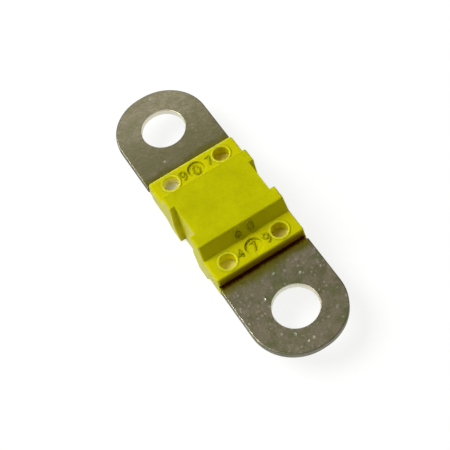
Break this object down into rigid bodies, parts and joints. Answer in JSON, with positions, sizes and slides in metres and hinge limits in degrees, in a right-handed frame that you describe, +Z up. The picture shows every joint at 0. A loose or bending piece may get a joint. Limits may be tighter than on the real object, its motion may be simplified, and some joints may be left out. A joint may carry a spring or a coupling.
{
  "type": "midi fuse",
  "caption": "Bolt-down midi fuse: a flat metal strip with round-ended stud terminals, clamped in a stepped yellow plastic housing.",
  "frame": {"origin": "midway between the two stud bores, on the strip's underside", "axes": "+X along the strip, +Y across it, +Z up through the upper shell"},
  "size_m": [0.0416, 0.012, 0.0076],
  "materials": {
    "tinned_metal": "dull tin plating with fine speckle",
    "yellow_plastic": "semi-gloss moulded plastic"
  },
  "bodies": {
    "root": {"fuse_strip": "tinned_metal", "upper_shell": "yellow_plastic", "lower_shell": "yellow_plastic"}
  },
  "joints": []
}
